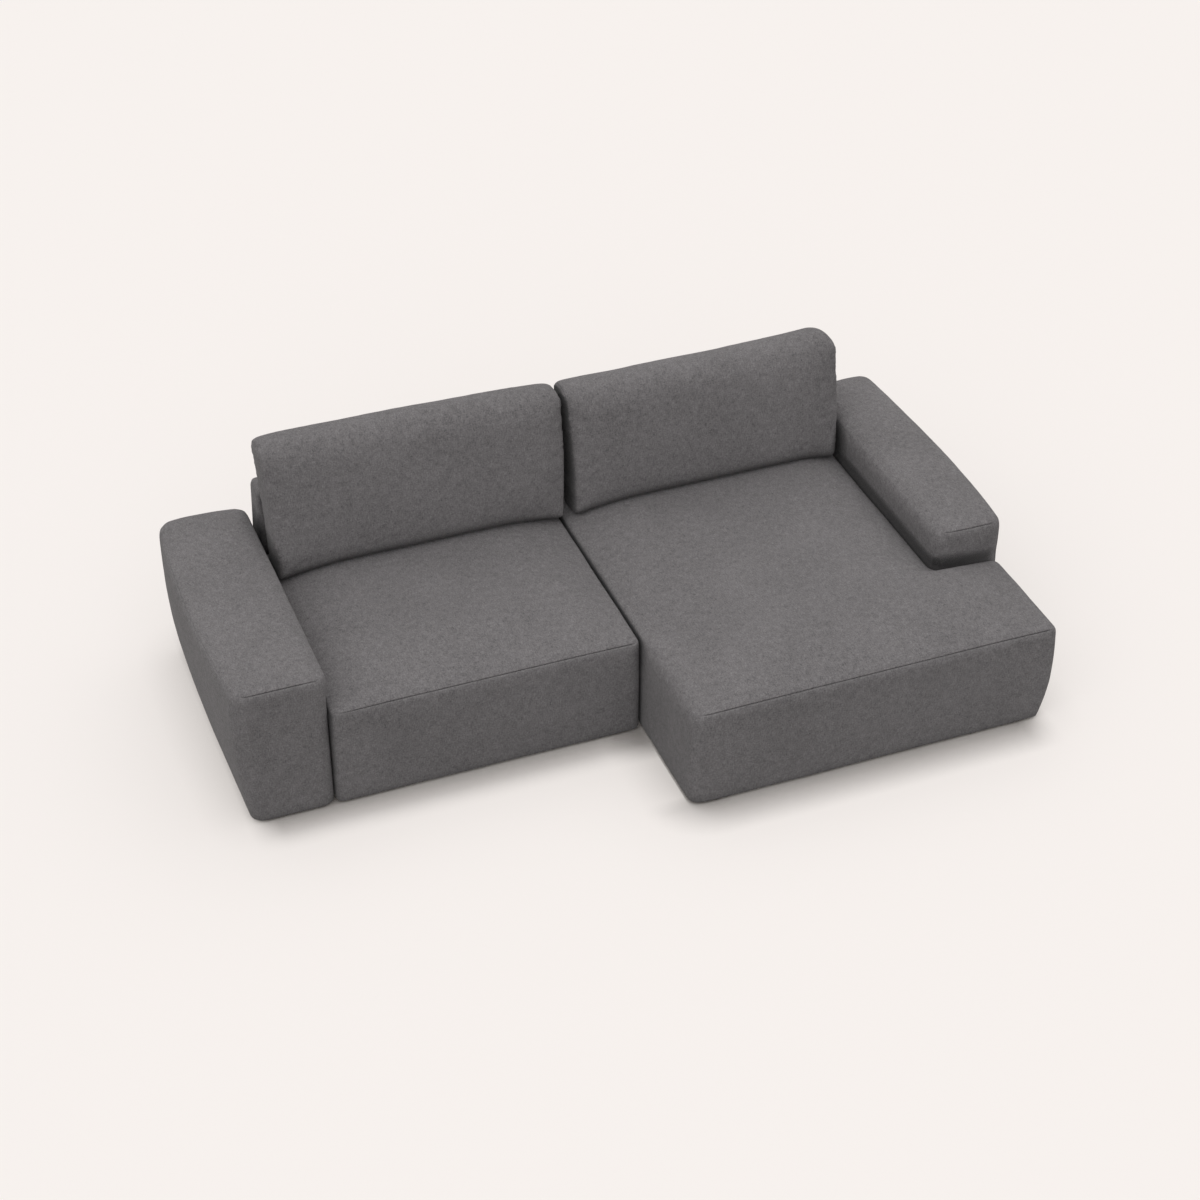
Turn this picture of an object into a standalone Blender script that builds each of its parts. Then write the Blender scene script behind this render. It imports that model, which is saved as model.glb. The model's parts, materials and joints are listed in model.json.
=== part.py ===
"""Corner sofa bed: a seat that pulls forward beside a chaise, between two arms and a low back."""
import math

import bmesh
import bpy
from mathutils import Matrix, Vector

# Plan sizes, in metres: x runs to the right seen from the front, y to the rear, z up
LEFT_ARM_WIDTH = 0.300
SEAT_BAY_WIDTH = 1.120
CHAISE_BAY_WIDTH = 1.120
RIGHT_ARM_WIDTH = 0.250
ARM_DEPTH = 1.095
CHAISE_OVERHANG = 0.455
BACK_DEPTH = 0.115

# Heights above the floor
FOOT_HEIGHT = 0.016
ARM_HEIGHT = 0.560
BACK_HEIGHT = 0.675
SEAT_HEIGHT = 0.400
SEAT_CROWN = 0.050
ARM_CROWN = 0.012
BACK_CROWN = 0.006
DECK_TOP = 0.250
PLATFORM_TOP = 0.195
RUNNER_TOP = 0.100

# Boards, slats and rails
BOARD = 0.018
SLAT_THICKNESS = 0.018
SLAT_WIDTH = 0.070
RAIL_WIDTH = 0.045
SEAT_RAIL_HEIGHT = 0.028
CHAISE_RAIL_HEIGHT = 0.050
BOARD_EASE = 0.0015
PLATFORM_RAIL_HEIGHT = 0.090
PLATFORM_DEPTH = 0.530

# Upholstery
PAD_WALL = 0.040
ARM_PAD_TOP = 0.060
BACK_PAD_WALL = 0.022
FRONT_PAD = 0.035
SIDE_PAD = 0.010
CORNER_RADIUS = 0.030
EDGE_RADIUS = 0.022
HEM_TUCK = 0.026
FRONT_TUCK = 0.3
ARM_SWELL = 0.018
CROWN_REACH = 0.300
NOTCH_FALL = 0.25
ARM_SIDE_FALL = 0.60
ARM_CROWN_REACH = 0.110
BACK_CROWN_REACH = 0.046
BACK_END_LEAN = 0.028
CAVITY_CORNER = 0.003
SHARPEST_CORNER = 0.1
EDGE_STEPS = 3
CROWN_SHARES = (0.2, 0.5, 1.0)

# Height above the hem, and the share of the hem's tuck there
HEM_PROFILE = ((0.0, 1.0), (0.030, 0.55), (0.080, 0.2), (0.150, 0.0))

# Back cushions
CUSHION_HEIGHT = 0.505
CUSHION_SINK = 0.040
CUSHION_THICKNESS = 0.205
CUSHION_GUSSET = 0.145
CUSHION_DROOP = 0.66
CUSHION_DROOP_REACH = 0.200
CUSHION_LEAN = math.radians(9.0)
CUSHION_CORNER = 0.030
CUSHION_WAIST = 0.008
CUSHION_CROWN_REACH = 0.190
CUSHION_MIDS = 11

# Share of the crown's height, and share of its reach in from the edge
CUSHION_PROFILE = ((1.0, 1.0), (0.72, 0.526), (0.28, 0.158), (0.0, 0.021), (-0.8, 0.0))

# Wheels, axles and brackets
CASTOR_RADIUS = 0.030
CASTOR_WIDTH = 0.022
CASTOR_INSET = 0.130
ROLLER_RADIUS = 0.020
ROLLER_WIDTH = 0.014
AXLE_RADIUS = 0.004
PLATE = 0.003
BRACKET_WIDTH = 0.050
BRACKET_HEIGHT = 0.052
ROLLER_FROM_REAR = 0.055
WHEEL_EASE = 0.1
WHEEL_STEPS = 28
AXLE_SIDES = 20
FOOT_RADIUS = 0.028
FOOT_TAPER = 0.85
FOOT_SIDES = 24
FOOT_INSET = 0.090
SEAT_SLAT_COUNT = 4
PLATFORM_SLAT_COUNT = 3
CHAISE_SLAT_COUNT = 2

# Clearances
TOUCH = 0.0003
SLIDE_GAP = 0.003
WHEEL_GAP = 0.001
CUSHION_GAP = 0.004
CUSHION_LEFT_GAP = 0.022
CUSHION_RIGHT_GAP = 0.012

# Places worked out from the sizes
TOTAL_WIDTH = LEFT_ARM_WIDTH + SEAT_BAY_WIDTH + CHAISE_BAY_WIDTH + RIGHT_ARM_WIDTH
TOTAL_DEPTH = ARM_DEPTH + CHAISE_OVERHANG
X_LEFT = -TOTAL_WIDTH / 2
X_RIGHT = TOTAL_WIDTH / 2
X_SEAT = X_LEFT + LEFT_ARM_WIDTH
X_CHAISE = X_SEAT + SEAT_BAY_WIDTH
X_ARM = X_RIGHT - RIGHT_ARM_WIDTH
Y_REAR = TOTAL_DEPTH / 2
Y_CHAISE = -TOTAL_DEPTH / 2
Y_ARM = Y_CHAISE + CHAISE_OVERHANG
Y_BACK = Y_REAR - BACK_DEPTH
SLAT_BOTTOM = DECK_TOP - SLAT_THICKNESS
BOARD_TOP = SLAT_BOTTOM - TOUCH
PAD_BOTTOM = DECK_TOP + TOUCH
HEM = FOOT_HEIGHT + TOUCH


def metal(name, colour, roughness):
    return finish(name, colour, roughness, 1.0)


def finish(name, colour, roughness, metallic=0.0):
    """One Principled material with a plain colour."""
    material = bpy.data.materials.new(name)
    material.use_nodes = True
    shader = material.node_tree.nodes["Principled BSDF"]
    shader.inputs["Base Color"].default_value = (*colour, 1.0)
    shader.inputs["Roughness"].default_value = roughness
    shader.inputs["Metallic"].default_value = metallic
    return material


def outline(corners, radius, insets, swells=None, arc_steps=3, mids=3):
    """Points round a right-angled plan: each edge moved in by its inset, with arcs at the corners.

    The corners run anticlockwise, and insets[i] and swells[i] belong to the edge that leaves
    corner i. A swell pushes the middle of its edge out. With arc_steps 0 the corners stay sharp.
    """
    count = len(corners)
    swells = swells or [0.0] * count
    points = [Vector(corner) for corner in corners]
    ahead = [(points[(i + 1) % count] - points[i]).normalized() for i in range(count)]
    outward = [Vector((d.y, -d.x)) for d in ahead]
    starts, ends = [], []
    arcs = []
    for i in range(count):
        before, after = outward[i - 1], outward[i]
        sharp = points[i] - before * insets[i - 1] - after * insets[i]
        convex = before.cross(after) > 0
        if arc_steps == 0:
            arcs.append([sharp])
        else:
            moved = max(insets[i - 1], insets[i])
            r = max(radius - moved, radius * SHARPEST_CORNER) if convex else radius + moved
            sign = 1.0 if convex else -1.0
            centre = sharp - (before + after) * r * sign
            first = math.atan2(before.y * sign, before.x * sign)
            turn = sign * math.pi / 2
            angles = [first + turn * step / arc_steps for step in range(arc_steps + 1)]
            arcs.append([centre + Vector((math.cos(a), math.sin(a))) * r for a in angles])
        starts.append(arcs[-1][0])
        ends.append(arcs[-1][-1])
    ring = []
    for i in range(count):
        ring += arcs[i]
        stretch = starts[(i + 1) % count] - ends[i]
        for step in range(1, mids + 1):
            t = step / (mids + 1)
            ring.append(ends[i] + stretch * t + outward[i] * swells[i] * 4 * t * (1 - t))
    return ring


def loft(rings):
    """A closed bmesh through rings of equal length, each a list of 3-D points, capped at both ends."""
    bm = bmesh.new()
    loops = [[bm.verts.new(point) for point in ring] for ring in rings]
    for low, high in zip(loops, loops[1:]):
        for i, vert in enumerate(low):
            j = (i + 1) % len(low)
            bm.faces.new((vert, low[j], high[j], high[i]))
    bm.faces.new(list(reversed(loops[0])))
    bm.faces.new(loops[-1])
    bmesh.ops.recalc_face_normals(bm, faces=bm.faces)
    return bm


def add(name, bm, origin, material, parent=None, smooth=False):
    """Makes one object from a bmesh in world coordinates, with its origin at the given point."""
    bmesh.ops.translate(bm, verts=bm.verts, vec=-Vector(origin))
    mesh = bpy.data.meshes.new(name)
    bm.to_mesh(mesh)
    bm.free()
    if smooth:
        mesh.shade_smooth()
        mesh.set_sharp_from_angle(angle=math.radians(40))
    mesh.materials.append(material)
    item = bpy.data.objects.new(name, mesh)
    bpy.context.scene.collection.objects.link(item)
    place(item, origin, parent)
    return item


def place(item, origin, parent):
    item.location = Vector(origin)
    if parent is not None:
        item.parent = parent
        item.location -= parent.location


def empty(name, origin):
    marker = bpy.data.objects.new(name, None)
    marker.location = origin
    bpy.context.scene.collection.objects.link(marker)
    return marker


def block(low, high, ease=BOARD_EASE):
    """A box between two corners with eased edges, as a bmesh."""
    bm = bmesh.new()
    size = Vector(high) - Vector(low)
    middle = (Vector(high) + Vector(low)) / 2
    bmesh.ops.create_cube(bm, size=1.0, matrix=Matrix.Translation(middle) @ Matrix.Diagonal((*size, 1.0)))
    if ease:
        bmesh.ops.bevel(bm, geom=bm.edges[:], offset=ease, segments=1, affect="EDGES")
    return bm


def board(name, low, high, parent=None, material=None, ease=BOARD_EASE):
    middle = (Vector(high) + Vector(low)) / 2
    return add(name, block(low, high, ease), middle, material or WOOD, parent)


def rectangle(x0, y0, x1, y1):
    return [(x0, y0), (x1, y0), (x1, y1), (x0, y1)]


def raised(points, z):
    return [Vector((p.x, p.y, z)) for p in points]


def crown_rings(corners, top, crown, reach, falls, swells=None):
    """Rings of a rounded top edge and the crown above it.

    falls[i] is 1 where the crown drops to edge i, and 0 where it runs on level to that edge.
    """
    swells = swells or [0.0] * len(corners)
    rings = []
    for step in range(EDGE_STEPS + 1):
        angle = math.pi / 2 * step / EDGE_STEPS
        drop = EDGE_RADIUS * (1 - math.sin(angle))
        inset = EDGE_RADIUS * (1 - math.cos(angle))
        ring = outline(corners, CORNER_RADIUS, [inset * f for f in falls], swells)
        rings.append(raised(ring, top - drop))
    for share in CROWN_SHARES:
        inset = EDGE_RADIUS + (reach - EDGE_RADIUS) * share
        rise = crown * (1 - (1 - share) ** 2)
        ring = outline(corners, CORNER_RADIUS, [inset * f for f in falls],
                       [swell * (1 - share) for swell in swells])
        rings.append(raised(ring, top + rise))
    return rings


def hem_rings(corners, radius, shows, swells=None, arc_steps=3, mids=3):
    """Rings of a side that tucks in towards its hem; shows scales the tuck of each edge."""
    rings = []
    for rise, tuck in HEM_PROFILE:
        insets = [HEM_TUCK * tuck * s for s in shows]
        rings.append(raised(outline(corners, radius, insets, swells, arc_steps, mids), HEM + rise))
    return rings


def lean_left_end(bm, corners, lean):
    """Leans the left end of a rectangular piece inwards, from nothing at the floor."""
    (x0, _), (x1, _) = corners[:2]
    for vert in bm.verts:
        vert.co.x += lean * (x1 - vert.co.x) / (x1 - x0) * vert.co.z / BACK_HEIGHT
    return bm


def wrapped_pad(name, corners, walls, cavity_top, top, crown, reach, shows, swells=None, lean=0.0):
    """Foam and fabric pulled over a frame: closed at the sides and the top, open below."""
    cavity = outline(corners, CAVITY_CORNER, walls)
    rings = [raised(cavity, cavity_top), raised(cavity, HEM)]
    rings += hem_rings(corners, CORNER_RADIUS, shows, swells)
    rings += crown_rings(corners, top, crown, reach, [1, 1, 1, 1], swells)
    bm = lean_left_end(loft(rings), corners, lean)
    return add(name, bm, (*corners[0], HEM), FABRIC, smooth=True)


def box_frame(name, corners, insets, top, lean=0.0):
    """A box of boards, open below."""
    outer = outline(corners, 0.0, [inset + TOUCH for inset in insets], arc_steps=0, mids=0)
    inner = outline(corners, 0.0, [inset + TOUCH + BOARD for inset in insets], arc_steps=0, mids=0)
    rings = [raised(inner, top - BOARD), raised(inner, FOOT_HEIGHT)]
    rings += [raised(outer, FOOT_HEIGHT), raised(outer, top)]
    bm = lean_left_end(loft(rings), corners, lean)
    return add(name, bm, (*corners[0], FOOT_HEIGHT), WOOD)


def make_arm(side, x0, x1):
    """One arm: a box frame under a pad that covers its sides and its top."""
    corners = rectangle(x0, Y_ARM, x1, Y_REAR)
    walls = [PAD_WALL, PAD_WALL, BACK_PAD_WALL, PAD_WALL]
    cavity_top = ARM_HEIGHT - ARM_PAD_TOP
    outer = [0, 0, 0, 1] if side == "left" else [0, 1, 0, 0]
    shows = [FRONT_TUCK, 0, FRONT_TUCK, FRONT_TUCK] if side == "left" else [0, FRONT_TUCK, FRONT_TUCK, 0]
    wrapped_pad(f"{side}_arm_pad", corners, walls, cavity_top, ARM_HEIGHT, ARM_CROWN, ARM_CROWN_REACH,
                shows, [ARM_SWELL * edge for edge in outer])
    box_frame(f"{side}_arm_frame", corners, walls, cavity_top - TOUCH)


def make_back(side, x0, x1, lean):
    """One length of the low back, between an arm and the other length."""
    corners = rectangle(x0 + TOUCH, Y_BACK, x1 - TOUCH, Y_REAR)
    walls = [BACK_PAD_WALL] * 4
    cavity_top = BACK_HEIGHT - BACK_PAD_WALL
    wrapped_pad(f"{side}_back_pad", corners, walls, cavity_top, BACK_HEIGHT, BACK_CROWN,
                BACK_CROWN_REACH, [0, 0, FRONT_TUCK, 0], lean=lean)
    box_frame(f"{side}_back_frame", corners, walls, cavity_top - TOUCH, lean)


def top_pad(name, corners, falls, parent=None):
    """A seat or chaise pad: upright sides, a rounded top edge and a crown."""
    rings = [raised(outline(corners, CORNER_RADIUS, [0] * len(corners)), PAD_BOTTOM)]
    rings += crown_rings(corners, SEAT_HEIGHT, SEAT_CROWN, CROWN_REACH, falls)
    return add(name, loft(rings), (*corners[0], PAD_BOTTOM), FABRIC, parent, smooth=True)


def face_pad(name, corners, shows, parent=None, top=DECK_TOP):
    """An upholstered panel below a top pad, tucked in at its hem where it shows."""
    rings = hem_rings(corners, 0.0, shows, arc_steps=0, mids=0)
    rings.append(raised(outline(corners, 0.0, [0] * 4, arc_steps=0, mids=0), top))
    return add(name, loft(rings), (*corners[0], HEM), FABRIC, parent, smooth=True)


def cushion(name, x0, x1, falls, parent):
    """A loose back cushion: a gusset between crowned faces, drawn in between its corners.

    It is flat below, and droops at its left and right ends as the crown of its seat falls there.
    """
    half_w, half_h, half_t = (x1 - x0) / 2, CUSHION_HEIGHT / 2, CUSHION_THICKNESS / 2
    corners = rectangle(-half_w, -half_h, half_w, half_h)
    puff = half_t - CUSHION_GUSSET / 2
    front = []
    for share, reach in CUSHION_PROFILE:
        waist = [-CUSHION_WAIST * (1 - reach)] * 4
        ring = outline(corners, CUSHION_CORNER, [CUSHION_CROWN_REACH * reach] * 4, waist, mids=CUSHION_MIDS)
        front.append((CUSHION_GUSSET / 2 + puff * share, ring))
    rings = [[Vector((p.x, -depth, p.y)) for p in ring] for depth, ring in front]
    rings += [[Vector((p.x, depth, p.y)) for p in ring] for depth, ring in reversed(front)]
    bm = loft(rings)
    foot_z = SEAT_HEIGHT + SEAT_CROWN + TOUCH
    lean = Matrix.Rotation(-CUSHION_LEAN, 4, "X")
    middle_z = foot_z - CUSHION_SINK + half_h * math.cos(CUSHION_LEAN)
    rise = (BACK_HEIGHT - middle_z) / math.cos(CUSHION_LEAN)
    rest = (lean @ Vector((0.0, half_t, rise))).y
    middle = Vector((x0 + half_w, Y_BACK - CUSHION_GAP - rest, middle_z))
    bmesh.ops.transform(bm, matrix=Matrix.Translation(middle) @ lean, verts=bm.verts)
    for vert in bm.verts:
        across = vert.co.x - middle.x
        fall = falls[0 if across < 0 else 1]
        reach = CUSHION_DROOP_REACH * fall
        past = max(0.0, abs(across) - (half_w - reach)) / reach
        droop = SEAT_CROWN * CUSHION_DROOP * fall * past ** 2
        vert.co.z = max(vert.co.z, foot_z - droop)
    bmesh.ops.recalc_face_normals(bm, faces=bm.faces)
    return add(name, bm, (middle.x, middle.y, foot_z), FABRIC, parent, smooth=True)


def turned(name, profile, centre, material, parent=None):
    """A ring turned about the x axis from a closed profile of (x, radius) points."""
    bm = bmesh.new()
    verts = [bm.verts.new((x, 0.0, r)) for x, r in profile]
    edges = [bm.edges.new((verts[i], verts[(i + 1) % len(verts)])) for i in range(len(verts))]
    bmesh.ops.spin(bm, geom=verts + edges, cent=(0, 0, 0), axis=(1, 0, 0), angle=2 * math.pi,
                   steps=WHEEL_STEPS)
    bmesh.ops.remove_doubles(bm, verts=bm.verts, dist=1e-6)
    bmesh.ops.recalc_face_normals(bm, faces=bm.faces)
    bmesh.ops.translate(bm, verts=bm.verts, vec=Vector(centre))
    return add(name, bm, centre, material, parent, smooth=True)


def wheel(name, radius, width, centre, material, parent):
    """A wheel with a bore for its axle and eased rims."""
    half = width / 2
    ease = radius * WHEEL_EASE
    bore = AXLE_RADIUS + TOUCH
    profile = [(-half, bore), (-half, radius - ease), (ease - half, radius), (half - ease, radius),
               (half, radius - ease), (half, bore)]
    return turned(name, profile, centre, material, parent)


def stub_bracket(name, plate_low, plate_high, axle_from, axle_to, parent):
    """A steel plate with an axle standing out of it."""
    item = board(name, plate_low, plate_high, parent, STEEL, ease=0.0)
    start, finish_at = Vector(axle_from), Vector(axle_to)
    length = (finish_at - start).length
    bm = bmesh.new()
    turn = Matrix.Rotation(math.pi / 2, 4, "Y")
    bmesh.ops.create_cone(bm, cap_ends=True, segments=AXLE_SIDES, radius1=AXLE_RADIUS, radius2=AXLE_RADIUS,
                          depth=length, matrix=Matrix.Translation((start + finish_at) / 2) @ turn)
    axle = add(f"{name}_axle", bm, (start + finish_at) / 2, STEEL, parent)
    join(item, axle)
    return item


def join(item, operand):
    """Unites an operand with an item, and keeps the operand out of the model."""
    operand.hide_render = True
    operand.display_type = "WIRE"
    union = item.modifiers.new(operand.name, "BOOLEAN")
    union.operation = "UNION"
    union.object = operand


def make_seat(carriage):
    """The carriage that pulls out: boards, rails, slats, pads, castors and rear rollers."""
    x0, x1 = X_SEAT + SLIDE_GAP, X_CHAISE - SLIDE_GAP
    y0, y1 = Y_ARM, Y_BACK - SLIDE_GAP
    left, right = x0 + SIDE_PAD + TOUCH, x1 - SIDE_PAD - TOUCH
    front = y0 + FRONT_PAD + TOUCH
    low = FOOT_HEIGHT + SLIDE_GAP
    top_pad("seat_pad", rectangle(x0, y0, x1, y1), [1, 1, 0, 1], carriage)
    face_pad("seat_front_pad", rectangle(x0, y0, x1, front - TOUCH), [FRONT_TUCK, 0, 0, 0], carriage)
    face_pad("seat_left_pad", rectangle(x0, front, left - TOUCH, y1), [0] * 4, carriage)
    face_pad("seat_right_pad", rectangle(right + TOUCH, front, x1, y1), [0] * 4, carriage)
    board("seat_front_board", (left, front, low), (right, front + BOARD, BOARD_TOP), carriage)
    inner = front + BOARD + TOUCH
    board("seat_left_board", (left, inner, low), (left + BOARD, y1, BOARD_TOP), carriage)
    board("seat_right_board", (right - BOARD, inner, low), (right, y1, BOARD_TOP), carriage)
    span_l, span_r = left + BOARD + TOUCH, right - BOARD - TOUCH
    rail_low = BOARD_TOP - SEAT_RAIL_HEIGHT
    rail_y = y1 - RAIL_WIDTH
    board("seat_rear_rail", (span_l, rail_y, rail_low), (span_r, y1, BOARD_TOP), carriage)
    middle = (left + right) / 2
    board("seat_centre_rail", (middle - RAIL_WIDTH / 2, inner, rail_low),
          (middle + RAIL_WIDTH / 2, rail_y - TOUCH, BOARD_TOP), carriage)
    make_slats("seat_slat", SEAT_SLAT_COUNT, left, right, front, y1, SLAT_BOTTOM, carriage)
    make_castors(carriage, left, right, front + BOARD)
    make_rollers(carriage, left + BOARD, right - BOARD, y1)


def make_slats(prefix, count, x0, x1, y0, y1, bottom, parent=None):
    """Slats across a deck, spread evenly from its front to its rear."""
    for i in range(count):
        y = y0 + SLAT_WIDTH / 2 + (y1 - y0 - SLAT_WIDTH) * i / (count - 1)
        board(f"{prefix}_{i + 1}", (x0, y - SLAT_WIDTH / 2, bottom),
              (x1, y + SLAT_WIDTH / 2, bottom + SLAT_THICKNESS), parent)


def make_castors(carriage, left, right, wall):
    """Two floor wheels behind the front board, each on a stub axle from an angled bracket."""
    z = CASTOR_RADIUS + TOUCH
    y = wall + PLATE + CASTOR_RADIUS + WHEEL_GAP
    for side, x, hand in (("left", left + CASTOR_INSET, 1), ("right", right - CASTOR_INSET, -1)):
        cheek = x - hand * (CASTOR_WIDTH / 2 + WHEEL_GAP + PLATE / 2)
        low = (cheek - PLATE / 2, wall + TOUCH, z - AXLE_RADIUS * 2)
        high = (cheek + PLATE / 2, y + AXLE_RADIUS * 2, z + BRACKET_HEIGHT)
        bracket = stub_bracket(f"{side}_castor_bracket", low, high, (cheek, y, z),
                               (x + hand * CASTOR_WIDTH / 2, y, z), carriage)
        flange_low = (cheek - BRACKET_WIDTH / 2, wall + TOUCH, z + CASTOR_RADIUS / 2)
        flange_high = (cheek + BRACKET_WIDTH / 2, wall + TOUCH + PLATE, z + BRACKET_HEIGHT)
        flange = board(f"{side}_castor_flange", flange_low, flange_high, carriage, STEEL, ease=0.0)
        join(bracket, flange)
        wheel(f"{side}_castor", CASTOR_RADIUS, CASTOR_WIDTH, (x, y, z), PLASTIC, carriage)


def make_rollers(carriage, left, right, rear):
    """Two rollers inside the rear ends of the side boards."""
    y = rear - ROLLER_FROM_REAR
    z = RUNNER_TOP + ROLLER_RADIUS + TOUCH
    reach = TOUCH + PLATE + WHEEL_GAP
    for side, wall, hand in (("left", left, 1), ("right", right, -1)):
        inner = wall + hand * TOUCH
        outer = inner + hand * PLATE
        low = (min(inner, outer), y - BRACKET_WIDTH / 2, z - AXLE_RADIUS * 2)
        high = (max(inner, outer), y + BRACKET_WIDTH / 2, z + BRACKET_HEIGHT / 2)
        x = wall + hand * (reach + ROLLER_WIDTH / 2)
        stub_bracket(f"{side}_roller_bracket", low, high, ((inner + outer) / 2, y, z),
                     (x + hand * ROLLER_WIDTH / 2, y, z), carriage)
        wheel(f"{side}_roller", ROLLER_RADIUS, ROLLER_WIDTH, (x, y, z), PLASTIC, carriage)


def make_platform():
    """The fixed deck under the rear of the seat, with the runners of the rear rollers."""
    seat_l = X_SEAT + SLIDE_GAP + SIDE_PAD + TOUCH + BOARD
    seat_r = X_CHAISE - SLIDE_GAP - SIDE_PAD - TOUCH - BOARD
    track = TOUCH + PLATE + WHEEL_GAP + ROLLER_WIDTH + WHEEL_GAP
    y1 = Y_BACK - TOUCH
    y0 = y1 - PLATFORM_DEPTH
    top = PLATFORM_TOP - SLAT_THICKNESS - TOUCH
    panels = []
    for side, edge, hand in (("left", seat_l, 1), ("right", seat_r, -1)):
        face = edge + hand * (track + PLATE + TOUCH)
        low_x, high_x = sorted((face, face + hand * BOARD))
        board(f"platform_{side}_panel", (low_x, y0, FOOT_HEIGHT), (high_x, y1, top))
        panels.append((low_x, high_x))
        make_runner(f"{side}_runner", edge + hand * track, hand, y0, y1)
    inner_l, inner_r = panels[0][1] + TOUCH, panels[1][0] - TOUCH
    for place_name, y in (("front", y0), ("rear", y1 - BOARD)):
        low = FOOT_HEIGHT if place_name == "front" else top - PLATFORM_RAIL_HEIGHT
        board(f"platform_{place_name}_rail", (inner_l, y, low), (inner_r, y + BOARD, top))
    first = Y_BACK - CHAISE_OVERHANG
    make_slats("platform_slat", PLATFORM_SLAT_COUNT, panels[0][0], panels[1][1], first, y1, top + TOUCH)
    foot("platform_foot", (inner_l + inner_r) / 2, y0 + FOOT_RADIUS)


def make_runner(name, face, hand, y0, y1):
    """A steel angle: an upright leg on the panel and a lip that carries the roller."""
    lip = face - hand * (ROLLER_WIDTH + WHEEL_GAP)
    leg_top = RUNNER_TOP + ROLLER_RADIUS
    outer = face + hand * PLATE
    profile = [(outer, leg_top), (outer, RUNNER_TOP - PLATE), (lip, RUNNER_TOP - PLATE), (lip, RUNNER_TOP),
               (face, RUNNER_TOP), (face, leg_top)]
    rings = [[Vector((x, y, z)) for x, z in profile] for y in (y0, y1)]
    bm = loft(rings)
    add(name, bm, (face, y0, RUNNER_TOP), STEEL)


def make_chaise():
    """The chaise: an L in plan, round the front of the right arm."""
    x0 = X_CHAISE + SLIDE_GAP
    stub_y = Y_ARM - TOUCH
    arm_x = X_ARM - TOUCH
    y1 = Y_BACK - TOUCH
    plan = [(x0, Y_CHAISE), (X_RIGHT, Y_CHAISE), (X_RIGHT, stub_y), (arm_x, stub_y), (arm_x, y1), (x0, y1)]
    top_pad("chaise_pad", plan, [1, 1, NOTCH_FALL, ARM_SIDE_FALL, 0, 1])
    front = Y_CHAISE + FRONT_PAD + TOUCH
    left, right = x0 + SIDE_PAD + TOUCH, X_RIGHT - FRONT_PAD - TOUCH
    face_pad("chaise_front_pad", rectangle(x0, Y_CHAISE, X_RIGHT, front - TOUCH), [FRONT_TUCK, 1, 0, 0])
    face_pad("chaise_left_pad", rectangle(x0, front, left - TOUCH, y1), [0] * 4)
    face_pad("chaise_right_pad", rectangle(right + TOUCH, front, X_RIGHT, stub_y), [0, 1, 0, 0])
    board("chaise_front_board", (left, front, FOOT_HEIGHT), (right, front + BOARD, BOARD_TOP))
    inner = front + BOARD + TOUCH
    board("chaise_left_board", (left, inner, FOOT_HEIGHT), (left + BOARD, y1, BOARD_TOP))
    board("chaise_right_board", (right - BOARD, inner, FOOT_HEIGHT), (right, stub_y, BOARD_TOP))
    board("chaise_arm_board", (arm_x - BOARD, stub_y, FOOT_HEIGHT), (arm_x, y1, BOARD_TOP))
    middle = (left + arm_x) / 2
    board("chaise_centre_rail", (middle - RAIL_WIDTH / 2, inner, BOARD_TOP - CHAISE_RAIL_HEIGHT),
          (middle + RAIL_WIDTH / 2, y1, BOARD_TOP))
    rear_deck = (stub_y - SLAT_WIDTH + y1) / 2
    make_slats("chaise_front_slat", CHAISE_SLAT_COUNT, left, right, front, stub_y, SLAT_BOTTOM)
    make_slats("chaise_rear_slat", CHAISE_SLAT_COUNT, left, arm_x, rear_deck, y1, SLAT_BOTTOM)
    foot("chaise_front_left_foot", left + FOOT_INSET, front + BOARD / 2)
    foot("chaise_front_right_foot", right - FOOT_INSET, front + BOARD / 2)


def foot(name, x, y):
    """A low round foot under a frame."""
    bm = bmesh.new()
    height = FOOT_HEIGHT - TOUCH
    middle = Matrix.Translation((x, y, height / 2))
    bmesh.ops.create_cone(bm, cap_ends=True, segments=FOOT_SIDES, radius1=FOOT_RADIUS * FOOT_TAPER,
                          radius2=FOOT_RADIUS, depth=height, matrix=middle)
    add(name, bm, (x, y, 0.0), PLASTIC, smooth=True)


def make_feet():
    arm_l = X_LEFT + PAD_WALL + BOARD
    arm_r = X_RIGHT - PAD_WALL - BOARD
    rear = Y_REAR - BACK_PAD_WALL - BOARD
    foot("left_arm_front_foot", arm_l, Y_ARM + PAD_WALL + BOARD)
    foot("left_arm_rear_foot", arm_l, rear)
    foot("right_arm_rear_foot", arm_r, rear)
    foot("back_foot", X_CHAISE - BACK_PAD_WALL - BOARD, rear)


for old in list(bpy.data.objects):
    bpy.data.objects.remove(old, do_unlink=True)

FABRIC = finish("fabric", (0.165, 0.155, 0.158), 0.9)
WOOD = finish("wood", (0.52, 0.36, 0.21), 0.65)
STEEL = metal("steel", (0.55, 0.55, 0.56), 0.38)
PLASTIC = finish("plastic", (0.025, 0.025, 0.027), 0.5)

make_arm("left", X_LEFT, X_SEAT)
make_arm("right", X_ARM, X_RIGHT)
make_back("left", X_SEAT, X_CHAISE, BACK_END_LEAN)
make_back("right", X_CHAISE, X_ARM, 0.0)
make_platform()
make_chaise()
make_feet()
seat_carriage = empty("seat_carriage", ((X_SEAT + X_CHAISE) / 2, Y_ARM, 0.0))
make_seat(seat_carriage)
left_ends = (X_SEAT + CUSHION_LEFT_GAP, X_CHAISE - CUSHION_GAP / 2)
right_ends = (X_CHAISE + CUSHION_GAP / 2, X_ARM - CUSHION_RIGHT_GAP)
cushion("left_back_cushion", *left_ends, (1, 1), seat_carriage)
cushion("right_back_cushion", *right_ends, (1, ARM_SIDE_FALL), None)
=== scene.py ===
"""Dresses the frame of a corner sofa bed in padded cloth covers, wood, steel and plastic."""

import json
import math

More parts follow.
